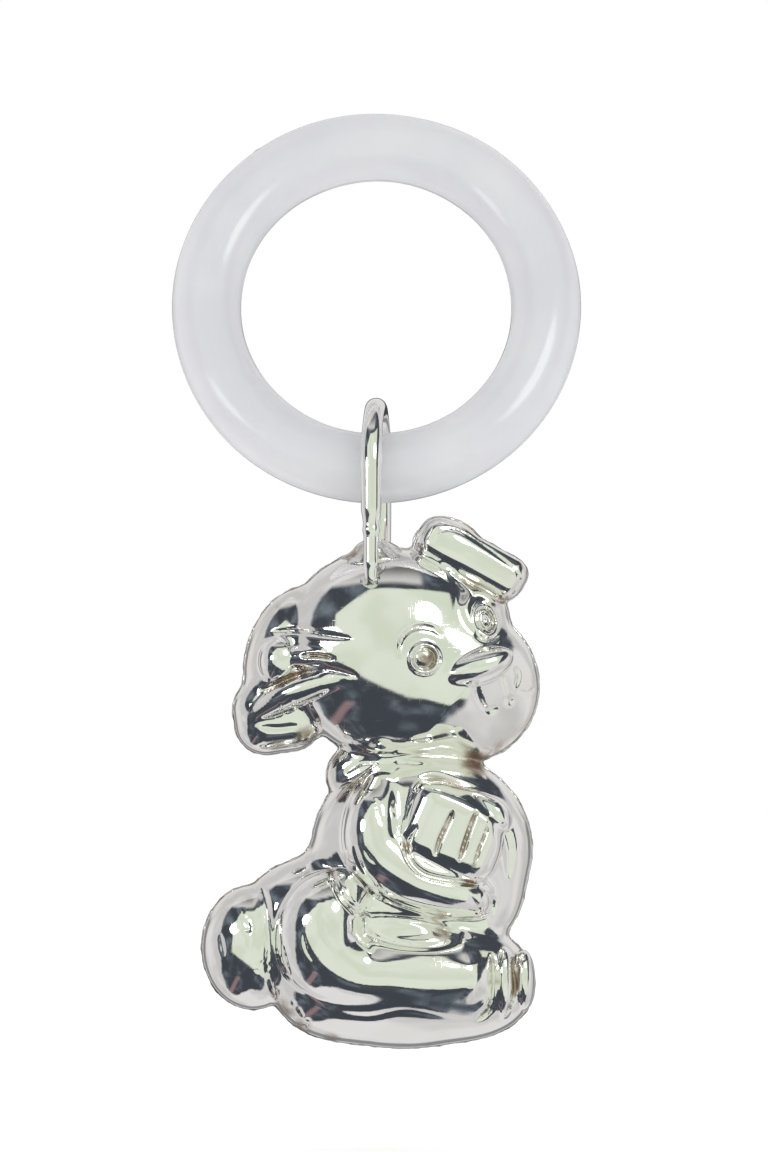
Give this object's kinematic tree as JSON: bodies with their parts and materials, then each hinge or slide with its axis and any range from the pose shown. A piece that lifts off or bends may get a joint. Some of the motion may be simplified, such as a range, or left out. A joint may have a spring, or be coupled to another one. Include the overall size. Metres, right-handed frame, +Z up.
{
  "type": "baby rattle",
  "caption": "Hollow silver puppy rattle with loose pellets inside, swinging on a wire bail from a plastic teething ring.",
  "frame": {"origin": "middle of the ring's tube at its highest point, where a hand or a hook holds the rattle", "axes": "+Z up with the puppy hanging plumb below; the puppy's front half faces -Y and it looks towards +X; the ring's top leans back towards +Y"},
  "size_m": [0.045, 0.0233, 0.1029],
  "materials": {
    "ring_plastic": "moulded translucent white plastic with a soft gloss",
    "silver": "polished sterling silver with fine scratches and light tarnish in the hollows",
    "solder": "silver solder, slightly yellowed and dull",
    "steel_shot": "plain round steel shot"
  },
  "bodies": {
    "ring": {"teething_ring": "ring_plastic"},
    "puppy": {"front_shell": "silver", "back_shell": "silver", "solder_seam": "solder", "bail_wire": "silver", "solder_front": "solder", "solder_back": "solder", "solder_saddle": "solder"},
    "shot_1": {"pellet_1": "steel_shot"},
    "shot_2": {"pellet_2": "steel_shot"},
    "shot_3": {"pellet_3": "steel_shot"},
    "shot_4": {"pellet_4": "steel_shot"},
    "shot_5": {"pellet_5": "steel_shot"}
  },
  "joints": [
    {"name": "puppy_swing", "type": "hinge", "parent": "ring", "child": "puppy", "pos_m": [0, -0.01025, -0.03576], "axis": [1, 0, 0], "range_deg": [-145, 115]},
    {"name": "shot_1_rattle", "type": "slide", "parent": "puppy", "child": "shot_1", "axis": [0, 0, 1], "range_m": [0, 0.047]},
    {"name": "shot_2_rattle", "type": "slide", "parent": "puppy", "child": "shot_2", "axis": [0, 0, 1], "range_m": [0, 0.047]},
    {"name": "shot_3_rattle", "type": "slide", "parent": "puppy", "child": "shot_3", "axis": [0, 0, 1], "range_m": [0, 0.047]},
    {"name": "shot_4_rattle", "type": "slide", "parent": "puppy", "child": "shot_4", "axis": [0, 0, 1], "range_m": [0, 0.022]},
    {"name": "shot_5_rattle", "type": "slide", "parent": "puppy", "child": "shot_5", "axis": [0, 0, 1], "range_m": [0, 0.022]}
  ]
}
